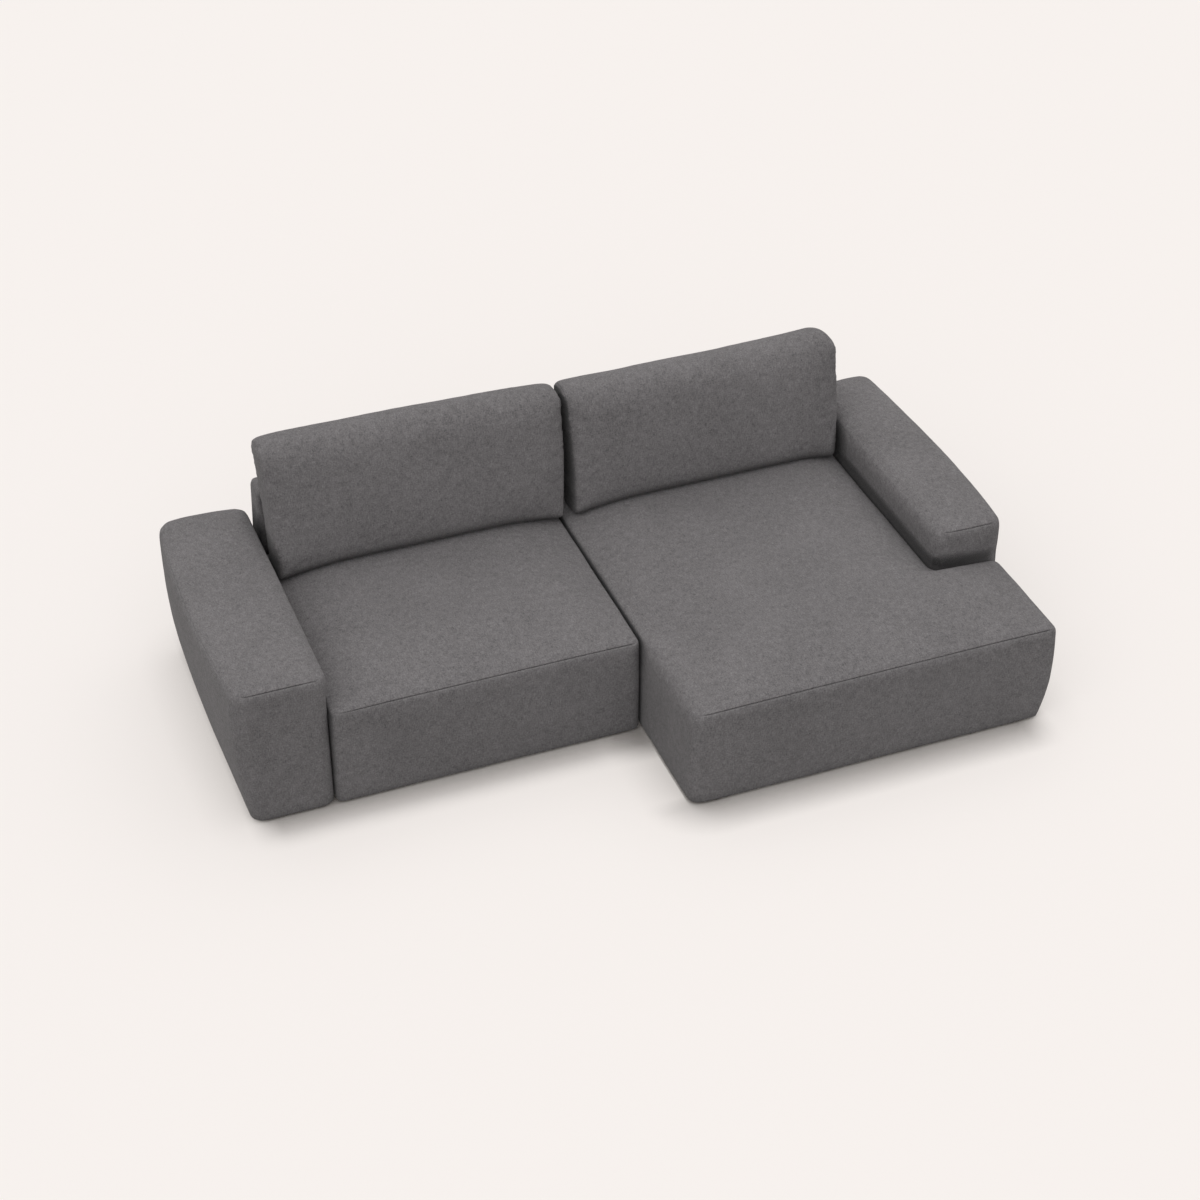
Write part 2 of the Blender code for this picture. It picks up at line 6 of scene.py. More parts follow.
import bmesh
import bpy
import numpy as np
from mathutils import Matrix, Vector, noise

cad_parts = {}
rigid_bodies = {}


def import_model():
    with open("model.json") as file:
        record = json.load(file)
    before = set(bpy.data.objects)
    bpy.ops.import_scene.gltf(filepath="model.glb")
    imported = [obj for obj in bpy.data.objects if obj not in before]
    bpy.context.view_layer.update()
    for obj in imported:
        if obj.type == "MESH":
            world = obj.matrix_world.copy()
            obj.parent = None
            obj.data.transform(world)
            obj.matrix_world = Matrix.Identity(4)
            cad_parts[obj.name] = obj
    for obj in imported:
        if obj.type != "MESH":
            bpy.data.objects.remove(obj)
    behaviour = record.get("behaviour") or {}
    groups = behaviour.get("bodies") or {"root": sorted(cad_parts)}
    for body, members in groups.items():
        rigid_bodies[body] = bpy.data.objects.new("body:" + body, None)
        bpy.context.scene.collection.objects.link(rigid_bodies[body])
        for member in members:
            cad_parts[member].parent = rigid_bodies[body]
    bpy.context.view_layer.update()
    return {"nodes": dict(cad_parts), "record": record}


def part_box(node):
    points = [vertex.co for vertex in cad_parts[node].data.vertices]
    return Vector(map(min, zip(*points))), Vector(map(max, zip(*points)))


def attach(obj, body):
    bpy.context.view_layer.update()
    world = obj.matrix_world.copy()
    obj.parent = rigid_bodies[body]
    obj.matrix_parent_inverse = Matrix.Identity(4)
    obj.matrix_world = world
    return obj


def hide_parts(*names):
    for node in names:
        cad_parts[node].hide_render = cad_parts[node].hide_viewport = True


bl_info = {
    "name": "Corner Sofa Bed",
    "version": (1, 0, 0),
    "blender": (4, 5, 0),
    "location": "3D View > Sidebar > Sofa Bed",
    "description": "Makes the covers, cushions and finishes of a corner sofa bed round its frame",
    "category": "Object",
}

for leftover in list(bpy.data.objects):
    bpy.data.objects.remove(leftover, do_unlink=True)
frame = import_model()

# Boxes of the frame's own pieces, in metres: x to the right, y to the rear, z up
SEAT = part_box("seat_pad")
SEAT_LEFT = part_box("seat_left_pad")
SEAT_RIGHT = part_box("seat_right_pad")
SEAT_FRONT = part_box("seat_front_pad")
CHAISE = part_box("chaise_pad")
CHAISE_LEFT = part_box("chaise_left_pad")
CHAISE_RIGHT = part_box("chaise_right_pad")
CHAISE_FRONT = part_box("chaise_front_pad")
CHAISE_ARM_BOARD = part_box("chaise_arm_board")
HEM = SEAT_FRONT[0].z

# Sizes that the frame was drawn with: crowns, swell and leans, how far in a crown reaches its height, how that reach
# shrinks before the chaise's notch and beside its arm, and the gap between a cover and the frame that it touches
SEAT_CROWN = 0.050
ARM_CROWN = 0.012
BACK_CROWN = 0.006
ARM_SWELL = 0.018
BACK_LEAN = 0.028
CUSHION_LEAN = math.radians(9.0)
CROWN_REACH = 0.300
NOTCH_FALL = 0.25
ARM_SIDE_FALL = 0.60
ARM_CROWN_REACH = 0.110
TOUCH = 0.0003
SEAT_TOP = SEAT[1].z - SEAT_CROWN

# How each back cushion lies, its left end and right end in that order:
# how far its ends shift from its solid's, how far they draw in at the foot, how high its top stands over
# its left end, middle and right end, how much of the droop each lower corner takes, how far its upper corners
# sink, and their radius
LEFT_CUSHION = {"ends": (-0.006, 0.022), "slants": (0.012, -0.026), "tops": (0.020, 0.020, 0.001), "falls": (1.0, 1.0),
                "shoulders": (0.004, 0.004), "corners": (0.034, 0.042)}
RIGHT_CUSHION = {"ends": (0.023, 0.004), "slants": (0.014, -0.020), "tops": (-0.001, -0.003, 0.007),
                 "falls": (1.0, ARM_SIDE_FALL), "shoulders": (0.004, 0.030), "corners": (0.026, 0.050)}

# Lines of the cages, as distances in from an edge
NEAR_EDGE = (0.003, 0.010, 0.025, 0.046)
NEAR_HEM = (0.004, 0.012, 0.035, 0.080)
NEAR_GUSSET = (0.006, 0.020, 0.045, 0.085)
CAGE_STEP = 0.062
SHORTEST_GAP = 0.0028
TINY = 1e-5

# How the covers draw in and swell: a tuck is its depth at the hem and how high it reaches, and the front seam fades
# between two distances from the front
HEM_TUCK = (0.009, 0.20)
ARM_TUCK = (0.0105, 0.20)
CHAISE_SIDE_TUCK = (0.020, 0.12)
NO_TUCK = (0.0, 1.0)
SIDE_FADE = 0.120
ARM_PINCH = 0.014
ARM_OVERHANG = 0.012
HEM_ROUND = 0.010
LIP_DEPTH = 0.009
LIP_WIDTH = 0.014
FRONT_SEAM = (0.010, 0.045)

# The padding's rise and fall: each layer's share, and its features to the metre
SWELLS = ((1.0, 5.0), (0.45, 13.0), (0.18, 34.0))

# How the cushions' cloth settles: the size of its faces, the frames it takes, the furthest that a point moves, and
# the share of the movement that each axis takes
CLOTH_FACE = 0.007
SETTLE_FRAMES = 20
SETTLE_LIMIT = 0.026
SETTLE_SHARES = (0.10, 0.35, 0.05)

# Where the floor's painted shadow at the hem fades: past the outer sides, and in the rows between the seat's front
# and the chaise's
SHADOW_SIDES = (1.30, 1.41)
SHADOW_SEAT_ROWS = (-0.38, -0.48)
SHADOW_CHAISE_ROWS = (-0.70, -0.76)

# Which way the two lamps stand, and the camera's place, turn and lens
LAMP_WAY = (0.25, 0.35, 1.0)
FILL_WAY = (-0.40, -0.75, 0.80)
CAMERA_PLACE = (-2.53, -6.721, 5.65)
CAMERA_YAW = math.radians(20.55)
CAMERA_PITCH = math.radians(36.34)
CAMERA_ROLL = math.radians(-0.53)
CAMERA_LENS = 75.18


class SofaPadding(bpy.types.PropertyGroup):
    """How the padded covers are rounded, sewn and filled."""

    soft_edge: bpy.props.FloatProperty(
        name="Soft edge", description="Radius of a top edge without a seam", default=0.045, unit="LENGTH")
    sewn_edge: bpy.props.FloatProperty(
        name="Sewn edge", description="Radius of a top edge along its seam", default=0.028, unit="LENGTH")
    upright_edge: bpy.props.FloatProperty(
        name="Upright edge", description="Radius of an arm's upright edges", default=0.046, unit="LENGTH")
    seam_depth: bpy.props.FloatProperty(
        name="Seam depth", description="How far a seam is drawn in", default=0.0050, unit="LENGTH")
    unevenness: bpy.props.FloatProperty(
        name="Unevenness", description="Rise and fall of the padding", default=0.0016, unit="LENGTH")
    arm_bulge: bpy.props.FloatProperty(
        name="Arm bulge", description="Swell of an arm's outer side at its middle", default=0.052, unit="LENGTH")


class SofaCushions(bpy.types.PropertyGroup):
    """The two loose back cushions."""

    height: bpy.props.FloatProperty(
        name="Height", description="Height along the lean", default=0.492, unit="LENGTH")
    gusset: bpy.props.FloatProperty(
        name="Gusset", description="Thickness at the edges", default=0.150, unit="LENGTH")
    puff: bpy.props.FloatProperty(
        name="Puff", description="How far each face stands out at its middle", default=0.024, unit="LENGTH")
    corner: bpy.props.FloatProperty(
        name="Corner", description="Radius of the lower corners seen from the front", default=0.018, unit="LENGTH")
    edge: bpy.props.FloatProperty(
        name="Edge", description="Radius of the roll along the top", default=0.062, unit="LENGTH")
    foot_edge: bpy.props.FloatProperty(
        name="Foot edge", description="Radius of the roll along the foot", default=0.032, unit="LENGTH")
    gusset_edge: bpy.props.FloatProperty(
        name="Gusset edge", description="Radius where a face meets an end", default=0.020, unit="LENGTH")
    waist: bpy.props.FloatProperty(
        name="Waist", description="How far the ends draw in between the corners", default=0.006, unit="LENGTH")
    pucker: bpy.props.FloatProperty(
        name="Pucker", description="Depth of the puckers beside the end seams", default=0.0030, unit="LENGTH")
    droop: bpy.props.FloatProperty(
        name="Droop", description="How far the lower corners hang over the seat's crown", default=0.034,
        unit="LENGTH")
    sink: bpy.props.FloatProperty(
        name="Sink", description="How much of the foot spreads flat on the seat", default=0.014, unit="LENGTH")


class SofaCloth(bpy.types.PropertyGroup):
    """The upholstery cloth."""

    colour: bpy.props.FloatVectorProperty(
        name="Colour", description="Colour of the cloth", subtype="COLOR", default=(0.168, 0.160, 0.163))
    mottle: bpy.props.FloatProperty(
        name="Mottle", description="Share that the nap's patches lighten or darken", default=0.16, subtype="FACTOR")
    fleck: bpy.props.FloatProperty(
        name="Fleck", description="Share that the yarn's flecks lighten or darken", default=0.40, subtype="FACTOR")
    thread: bpy.props.FloatProperty(
        name="Thread", description="Share that single threads lighten or darken", default=0.40, subtype="FACTOR")
    pitch: bpy.props.FloatProperty(
        name="Pitch", description="Distance between threads", default=0.0022, unit="LENGTH")
    # Reach of the painted shade that darkens the cloth's colour in crevices
    crevice_shade: bpy.props.FloatProperty(
        name="Crevice", description="How far the dark of a crevice reaches up a piece", default=0.055, unit="LENGTH")


class SofaStudio(bpy.types.PropertyGroup):
    """The floor and the light."""

    floor: bpy.props.FloatVectorProperty(
        name="Floor", description="Colour of the floor", subtype="COLOR", default=(0.948, 0.909, 0.890))
    plain_share: bpy.props.FloatProperty(
        name="Plain share", description="Share of the floor's look that no shadow darkens", default=0.48,
        subtype="FACTOR")
    floor_light: bpy.props.FloatProperty(
        name="Floor light", description="Strength of that share", default=1.0)
    # The painted shadow on the floor along the hem: its reach and its strength
    contact: bpy.props.FloatProperty(
        name="Contact", description="How far the shadow at the hem reaches", default=0.17, unit="LENGTH")
    contact_share: bpy.props.FloatProperty(
        name="Contact share", description="How much that shadow darkens the floor", default=0.72, subtype="FACTOR")
    bounce: bpy.props.FloatProperty(
        name="Bounce", description="Share of the light that the floor gives back", default=0.25, subtype="FACTOR")
    sky: bpy.props.FloatProperty(
        name="Sky", description="Strength of the light from all round", default=0.605)
    sky_level: bpy.props.FloatProperty(
        name="Sky at the floor", description="How much of it comes from level with the floor", default=0.44)
    sky_overhead: bpy.props.FloatProperty(
        name="Sky overhead", description="How much of it comes from straight overhead", default=1.29)
    lamp: bpy.props.FloatProperty(
        name="Lamp", description="Strength of the broad lamp overhead", default=0.38)
    lamp_breadth: bpy.props.FloatProperty(
        name="Breadth", description="Angle that the overhead lamp fills", default=math.radians(70), subtype="ANGLE")
    fill: bpy.props.FloatProperty(
        name="Fill", description="Strength of the broad lamp in front", default=1.10)
    fill_breadth: bpy.props.FloatProperty(
        name="Fill breadth", description="Angle that the front lamp fills", default=math.radians(75),
        subtype="ANGLE")


class Thread:
    """A shader socket that takes part in Python sums."""

    def __init__(self, recipe, socket):
        self.recipe = recipe
        self.socket = socket

    def sum(self, operation, first, second):
        return self.recipe.node("ShaderNodeMath", {"operation": operation}, {0: first, 1: second})

    def __add__(self, other):
        return self.sum("ADD", self, other)

    def __radd__(self, other):
        return self.sum("ADD", other, self)

    def __sub__(self, other):
        return self.sum("SUBTRACT", self, other)

    def __rsub__(self, other):
        return self.sum("SUBTRACT", other, self)

    def __mul__(self, other):
        return self.sum("MULTIPLY", self, other)

    def __gt__(self, other):
        return self.sum("GREATER_THAN", self, other)

    def wave(self):
        return self.sum("SINE", self, 0.0)

    def size(self):
        return self.sum("ABSOLUTE", self, 0.0)

    def most(self, other):
        return self.sum("MAXIMUM", self, other)


class Recipe:
    """One material, or the world, and the nodes of its finish."""

    def __init__(self, name, owner=None):
        self.material = owner or bpy.data.materials.new(name)
        self.material.use_nodes = True
        self.tree = self.material.node_tree
        self.shader = self.tree.nodes.get("Principled BSDF")

    def node(self, kind, settings, sockets, output=0):
        """Adds a node, makes its settings, then fills its sockets with values or links."""
        made = self.tree.nodes.new(kind)
        for key, value in settings.items():
            setattr(made, key, value)
        for key, value in sockets.items():
            self.fill(made.inputs[key], value)
        return Thread(self, made.outputs[output])

    def fill(self, socket, value):
        if isinstance(value, Thread):
            self.tree.links.new(value.socket, socket)
        else:
            socket.default_value = value

    def set(self, sockets):
        """Fills the shader's own sockets by name."""
        for key, value in sockets.items():
            self.fill(self.shader.inputs[key], value)

    def place(self):
        """The three parts of a point's place on the piece at rest."""
        return self.place_of("Object")

    def place_of(self, kind):
        """The three parts of one kind of texture coordinate."""
        spot = self.node("ShaderNodeTexCoord", {}, {}, kind)
        return [self.node("ShaderNodeSeparateXYZ", {}, {0: spot}, axis) for axis in "XYZ"]

    def fade(self, value, start, end, after, before=1.0):
        """One number before the start, another after the end, and straight between them."""
        values = {"Value": value, "From Min": start, "From Max": end, "To Min": before, "To Max": after}
        return self.node("ShaderNodeMapRange", {}, values)

    def closed(self, reach):
        """How much of what lies round a point is closed off within the reach, from 0 to 1."""
        return 1 - self.node("ShaderNodeAmbientOcclusion", {"samples": 2}, {"Distance": reach}, "AO")

    def pick(self, mask, low, high):
        """The number low where the mask is 0, and high where it is 1."""
        return self.node("ShaderNodeMix", {"data_type": "FLOAT"}, {0: mask, 2: low, 3: high})

    def spot(self, x, y, z):
        return self.node("ShaderNodeCombineXYZ", {}, {0: x, 1: y, 2: z})

    def noise(self, spot, scale, detail=2.0, roughness=0.5, distortion=0.0):
        """Noise of the given number of features to the metre, from about 0.2 to 0.8."""
        values = {"Vector": spot, "Scale": scale, "Detail": detail, "Roughness": roughness,
                  "Distortion": distortion}
        return self.node("ShaderNodeTexNoise", {}, values)

    def blend(self, mask, low, high):
        """A colour between two, by a mask."""
        return self.node("ShaderNodeMix", {"data_type": "RGBA"}, {0: mask, 6: low, 7: high}, 2)

    def mix(self, mask, low, high):
        """A shader between two, by a mask."""
        return self.node("ShaderNodeMixShader", {}, {0: mask, 1: low, 2: high})

    def bump(self, height, strength, distance):
        values = {"Height": height, "Strength": strength, "Distance": distance}
        return self.node("ShaderNodeBump", {}, values)


def seen_rays(recipe):
    """1 for what the camera sees, straight or in a reflection or through glass, and 0 for all other light."""
    camera, glossy, through = [recipe.node("ShaderNodeLightPath", {}, {}, f"Is {kind} Ray")
                               for kind in ("Camera", "Glossy", "Transmission")]
    return camera.most(glossy).most(through)


def shade(colour, factor):
    """The colour made lighter or darker, as four numbers."""
    return (*[min(1.0, part * factor) for part in colour], 1.0)


def cloth_finish():
    """A brushed flat weave: crossed threads, slubs along them, soft patches in the nap, and painted crevice shade."""
    made = bpy.data.materials.get("sofa_cloth")
    if made:
        return made
    cloth = bpy.context.scene.sofa_cloth
    recipe = Recipe("sofa_cloth")
    x, y, z = recipe.place()
    rightward, _, upward = recipe.place_of("Normal")
    facing, stretch, fineness = 0.7, 0.16, 340.0
    across = recipe.pick(rightward.size() > facing, x, y)
    along = recipe.pick(upward.size() > facing, z, y)
    warp = recipe.noise(recipe.spot(across, along * stretch, 0.0), fineness, 2.0, 0.6)
    weft = recipe.noise(recipe.spot(across * stretch, along, 3.0), fineness, 2.0, 0.6)
    here = recipe.spot(x, y, z)
    fleck = recipe.noise(here, 180.0, 3.0, 0.8)
    patches = recipe.noise(here, 42.0, 3.0, 0.6)
    drift = recipe.noise(here, 4.0, 2.0)
    threads = warp * 0.6 + weft * 0.4 - 0.5
    tone = threads * (cloth.thread * 4) + (fleck - 0.5) * (cloth.fleck * 4) + (patches - 0.5) * (cloth.mottle * 4)
    tone = tone + (drift - 0.5) * (cloth.mottle * 2)
    mask = tone * 0.5 + 0.5
    colour = recipe.blend(mask, shade(cloth.colour, 0.0), shade(cloth.colour, 2.0))
    # Painted shade: the colour darkens where things close in round a point, less on faces that look up and more above
    # the seat
    crevice_shade = recipe.closed(cloth.crevice_shade) * (1 - upward) * recipe.fade(z, 0.25, SEAT_TOP, 2.0, 0.5)
    colour = recipe.blend(crevice_shade, colour, shade(cloth.colour, 0.2))
    turn = 2 * math.pi / cloth.pitch
    weave = (across * turn).wave() * (along * turn).wave()
    height = weave * 0.35 + warp + weft + fleck * 1.5 + patches
    recipe.set({"Base Color": colour, "Roughness": 0.93 - mask * 0.08, "Normal": recipe.bump(height, 0.4, 0.0012),
                "Sheen Weight": 0.10, "Sheen Roughness": 0.6, "Specular IOR Level": 0.25})
    return recipe.material


def wood_finish(along):
    """Pale sawn softwood, with its grain along one axis: 0, 1 or 2."""
    name = f"sofa_wood_{'xyz'[along]}"
    made = bpy.data.materials.get(name)
    if made:
        return made
    recipe = Recipe(name)
    parts = recipe.place()
    grain = recipe.spot(*[part * (0.06 if i == along else 1.0) for i, part in enumerate(parts)])
    bands = recipe.noise(grain, 42.0, 3.0, 0.55, 0.6)
    pores = recipe.noise(grain, 520.0, 2.0, 0.6)
    drift = recipe.noise(recipe.spot(*parts), 2.2, 1.0)
    mask = bands * 1.5 - 0.25 + (pores - 0.5) * 0.35 + (drift - 0.5) * 0.5
    colour = recipe.blend(mask, (0.40, 0.255, 0.135, 1.0), (0.66, 0.49, 0.31, 1.0))
    recipe.set({"Base Color": colour, "Roughness": 0.72 - mask * 0.14,
                "Normal": recipe.bump(pores + bands, 0.25, 0.0008)})
    return recipe.material


def steel_finish():
    """Zinc-plated steel, brushed along y."""
    recipe = Recipe("sofa_steel")
    x, y, z = recipe.place()
    brushed = recipe.noise(recipe.spot(x, y * 0.04, z), 900.0, 2.0)
    clouds = recipe.noise(recipe.spot(x, y, z), 45.0, 3.0)
    colour = recipe.blend(clouds, (0.47, 0.47, 0.46, 1.0), (0.63, 0.63, 0.64, 1.0))
    recipe.set({"Base Color": colour, "Metallic": 1.0, "Roughness": 0.24 + brushed * 0.18 + clouds * 0.10,
                "Normal": recipe.bump(brushed, 0.12, 0.0003)})
    return recipe.material


def plastic_finish():
    """Moulded black plastic with a fine spark texture, scuffed in places."""
    recipe = Recipe("sofa_plastic")
    here = recipe.spot(*recipe.place())
    sparks = recipe.noise(here, 1500.0, 2.0)
    scuffs = recipe.noise(here, 90.0, 4.0, 0.7)
    colour = recipe.blend(scuffs, (0.016, 0.016, 0.017, 1.0), (0.045, 0.044, 0.044, 1.0))
    recipe.set({"Base Color": colour, "Roughness": 0.38 + scuffs * 0.3, "Normal": recipe.bump(sparks, 0.2, 0.0004)})
    return recipe.material


def between(value, low, high):
    """0 up to low, 1 from high on, and straight between them."""
    return min(max((value - low) / (high - low), 0.0), 1.0)


def near(distance, reach):
    """1 at an edge, falling straight to 0 at the reach."""
    return max(0.0, 1 - distance / reach)


def past(share, start):
    """0 up to the start, rising straight through 1 at 1."""
    return max(0.0, (share - start) / (1 - start))


def ramp(distance, reach):
    """0 at an edge, rising ever more gently to 1 at the reach."""
    return 1 - (1 - between(distance, 0.0, reach)) ** 2


def ease(value, start, end):
    """0 before the start, 1 after the end, and smooth between them."""
    share = between(value, start, end)
    return share * share * (3 - 2 * share)


def hump(value, low, high):
    """1 in the middle between low and high, falling to 0 at both."""
    share = between(value, low, high)
    return 4 * share * (1 - share)


def grid_lines(stops, extras):
    """Sorted places: all the stops, the extras that keep clear of them, and even steps between."""
    kept = sorted(stops)
    for extra in extras:
        if all(abs(extra - line) > SHORTEST_GAP for line in kept):
            kept.append(extra)
    kept.sort()
    lines = kept[:1]
    for low, high in zip(kept, kept[1:]):
        count = max(1, math.ceil((high - low) / CAGE_STEP - 0.3))
        lines += [low + (high - low) * (i + 1) / count for i in range(count)]
    return lines


def cage(xs, ys, zs, filled):
    """A closed mesh of four-sided faces round the filled cells of a grid."""
    cells = set()
    for i in range(len(xs) - 1):
        for j in range(len(ys) - 1):
            for k in range(len(zs) - 1):
                if filled((xs[i] + xs[i + 1]) / 2, (ys[j] + ys[j + 1]) / 2, (zs[k] + zs[k + 1]) / 2):
                    cells.add((i, j, k))
    bm = bmesh.new()
    verts = {}

    def corner(i, j, k):
        if (i, j, k) not in verts:
            verts[i, j, k] = bm.verts.new((xs[i], ys[j], zs[k]))
        return verts[i, j, k]

    sides = (
        ((1, 0, 0), ((1, 0, 0), (1, 1, 0), (1, 1, 1), (1, 0, 1))),
        ((-1, 0, 0), ((0, 0, 0), (0, 0, 1), (0, 1, 1), (0, 1, 0))),
        ((0, 1, 0), ((0, 1, 0), (0, 1, 1), (1, 1, 1), (1, 1, 0))),
        ((0, -1, 0), ((0, 0, 0), (1, 0, 0), (1, 0, 1), (0, 0, 1))),
        ((0, 0, 1), ((0, 0, 1), (1, 0, 1), (1, 1, 1), (0, 1, 1))),
        ((0, 0, -1), ((0, 0, 0), (0, 1, 0), (1, 1, 0), (1, 0, 0))),
    )
    for i, j, k in sorted(cells):
        for (a, b, c), corners in sides:
            if (i + a, j + b, k + c) not in cells:
                bm.faces.new([corner(i + p, j + q, k + r) for p, q, r in corners])
    return bm


class Cover:
    """A padded cover: plan rectangles up to a top, over a hollow that holds its frame.

    Its tucks, and the thickness of its walls, are those of the front, right, rear and left side in that order.
    Each kind of cover adds its own crown, edge and corner: functions of a place.
    """

    def __init__(self, name, plans, hollows, top):
        self.name = name
        self.plans = plans
        self.hollows = hollows
        self.top = top
        self.low = Vector((min(p[0] for p in plans), min(p[1] for p in plans)))
        self.high = Vector((max(p[2] for p in plans), max(p[3] for p in plans)))
        self.tucks = (HEM_TUCK, NO_TUCK, NO_TUCK, NO_TUCK)
        self.walls = (0.035, 0.010, 0.010, 0.010)
        self.sewn = lambda x, y: 0.0
        self.fillet = 0.0
        self.more_z = []
        self.bulge = lambda x, y, z: Vector((0.0, 0.0, 0.0))

    def filled(self, x, y, z):
        inside = any(x0 < x < x1 and y0 < y < y1 for x0, y0, x1, y1 in self.plans)
        return inside and not any(x0 < x < x1 and y0 < y < y1 and z < top for x0, y0, x1, y1, top in self.hollows)

    def on_rim(self, x, y):
        """Whether a plan point lies on the cover's outline."""
        return not any(x0 + TINY < x < x1 - TINY and y0 + TINY < y < y1 - TINY for x0, y0, x1, y1 in self.plans)

    def outside(self, at):
        """Whether a point of the cage belongs to the cover's skin or underside, not to its hollow."""
        if at.z > self.top - TINY or self.on_rim(at.x, at.y):
            return True
        return at.z < HEM + TINY and not any(x0 - TINY < at.x < x1 + TINY and y0 - TINY < at.y < y1 + TINY
                                             for x0, y0, x1, y1, _ in self.hollows)

    def plan_core(self, at, radius):
        """The nearest point of the plan drawn in by the radius."""
        cores = [Vector((min(max(at.x, x0 + radius), x1 - radius), min(max(at.y, y0 + radius), y1 - radius)))
                 for x0, y0, x1, y1 in self.plans]
        return min(cores, key=lambda core: (at.xy - core).length)

    def rounded(self, at, sewn):
        """The point with its upright edge, then its top or bottom edge, turned into an arc."""
        padding = bpy.context.scene.sofa_padding
        radius = self.corner(at.x, at.y, at.z)
        core = self.plan_core(at, radius)
        away = at.xy - core
        spot = at.copy()
        if self.fillet and self.on_rim(at.x, at.y):
            spot.xy += self.filling(at)
        if min(abs(away.x), abs(away.y)) > TINY:
            away *= max(abs(away.x), abs(away.y)) / away.length
            spot.xy = core + away
        if away.length < TINY:
            return spot
        out = away.normalized()
        inset = radius - away.length
        edge = padding.sewn_edge * sewn + self.edge(at.x, at.y) * (1 - sewn)
        for depth, bend, way in ((self.top - at.z, edge, 1), (at.z - HEM, HEM_ROUND, -1)):
            turn = Vector((bend - inset, bend - depth))
            if min(turn) > TINY:
                shift = turn * (max(turn) / turn.length) - turn
                spot += Vector((out.x * shift.x, out.y * shift.x, way * shift.y))
        return spot

    def filling(self, at):
        """How far a rim point beside the inner corner of two plans moves out to an arc."""
        x, y = self.plans[1][2], self.plans[0][3]
        right, back = at.x - x, at.y - y
        if min(right, back) < -TINY or max(right, back) > self.fillet:
            return Vector((0.0, 0.0))
        share = max(right, back) / self.fillet
        turn = math.radians(45) * (1 - share)
        less, more = self.fillet * (1 - math.cos(turn)), self.fillet * (1 - math.sin(turn))
        return Vector((less, more - back)) if back >= right else Vector((more - right, less))

    def shape(self, at):
        """Where a point of the cage goes: edges, seams, crown, hem and bulge."""
        if not self.outside(at):
            return at.copy()
        sewn = self.sewn(at.x, at.y)
        spot = self.rounded(at, sewn)
        if self.on_rim(at.x, at.y) and at.z > self.top - TINY:
            depth = bpy.context.scene.sofa_padding.seam_depth * sewn
            spot += self.seam_way(at) * depth
        ceiling = max(hollow[4] for hollow in self.hollows)
        spot.z += self.crown(spot.x, spot.y) * ease(at.z, ceiling, self.top)
        spot.z -= LIP_DEPTH * near(self.inset(at), LIP_WIDTH) * (1 - ease(at.z, HEM, HEM + 0.08))
        spot += self.tuck(at)
        return spot + self.bulge(at.x, at.y, at.z)

    def inset(self, at):
        """How far in from the rim a plan point lies."""
        return max(min(at.x - x0, x1 - at.x, at.y - y0, y1 - at.y) for x0, y0, x1, y1 in self.plans)

    def seam_way(self, at):
        """The way into the padding from a point on the top edge."""
        if at.y < self.low.y + TINY:
            return Vector((0.0, 1.0, -1.0))
        return Vector((1.0 if at.x < (self.low.x + self.high.x) / 2 else -1.0, 0.0, -1.0))

    def tuck(self, at):
        """How far the cover draws in towards its hem; its underside follows as far as the frame allows."""
        insets = (at.y - self.low.y, self.high.x - at.x, self.high.y - at.y, at.x - self.low.x)
        ways = ((0, 1), (-1, 0), (0, -1), (1, 0))
        rim = self.on_rim(at.x, at.y)
        pull = Vector((0.0, 0.0, 0.0))
        for (depth, height), inset, way, wall in zip(self.tucks, insets, ways, self.walls):
            fade = near(inset, SIDE_FADE) ** 2 if rim else near(inset, wall)
            drawn = depth * near(at.z - HEM, height) ** 1.6
            pull += Vector((*way, 0)) * min(drawn, wall - 0.004) * fade
        return pull

    def build(self):
        """The finished mesh as an object."""
        xs, ys = [], []
        for x0, y0, x1, y1 in self.plans:
            xs += [x0 + inset for inset in NEAR_EDGE] + [x1 - inset for inset in NEAR_EDGE]
            ys += [y0 + inset for inset in NEAR_EDGE] + [y1 - inset for inset in NEAR_EDGE]
        if self.fillet:
            xs += [self.plans[1][2] + self.fillet * share for share in (0.35, 0.7, 1.0)]
            ys += [self.plans[0][3] + self.fillet * share for share in (0.35, 0.7, 1.0)]
        zs = [self.top - inset for inset in NEAR_EDGE] + self.more_z + [HEM + inset for inset in NEAR_HEM]
        x_stops = {value for plan in self.plans + self.hollows for value in (plan[0], plan[2])}
        y_stops = {value for plan in self.plans + self.hollows for value in (plan[1], plan[3])}
        z_stops = {HEM, self.top} | {hollow[4] for hollow in self.hollows}
        bm = cage(grid_lines(x_stops, xs), grid_lines(y_stops, ys), grid_lines(z_stops, zs), self.filled)
        starts = {vert: vert.co.copy() for vert in bm.verts}
        crease = bm.edges.layers.float.new("crease_edge")
        for edge in bm.edges:
            if not any(self.outside(starts[vert]) for vert in edge.verts):
                edge[crease] = 1.0
        for vert in bm.verts:
            vert.co = self.shape(starts[vert])
        return smooth_object(self.name, bm)


def new_object(name, bm):
    """An object in the scene that takes a built mesh."""
    mesh = bpy.data.meshes.new(name)
    bm.to_mesh(mesh)
    bm.free()
    item = bpy.data.objects.new(name, mesh)
    bpy.context.scene.collection.objects.link(item)
    return item


def smooth_object(name, bm):
    """An object from a cage, subdivided twice."""
    item = new_object(name, bm)
    subdivide(item, 2)
    return item


def subdivide(item, levels):
    smooth = item.modifiers.new("smooth", "SUBSURF")
    smooth.levels = smooth.render_levels = levels
    apply_modifiers(item)


def apply_modifiers(item):
    """Makes the piece's evaluated mesh its own."""
    graph = bpy.context.evaluated_depsgraph_get()
    made = bpy.data.meshes.new_from_object(item.evaluated_get(graph))
    made.name = item.name
    item.modifiers.clear()
    item.data = made
    made.shade_smooth()


def push(item, depth):
    """Moves each point of a piece out along its normal, by a depth that its place gives."""
    verts = item.data.vertices
    for vert, normal in zip(verts, [vert.normal.copy() for vert in verts]):
        vert.co += normal * depth(vert.co)
    item.data.update()


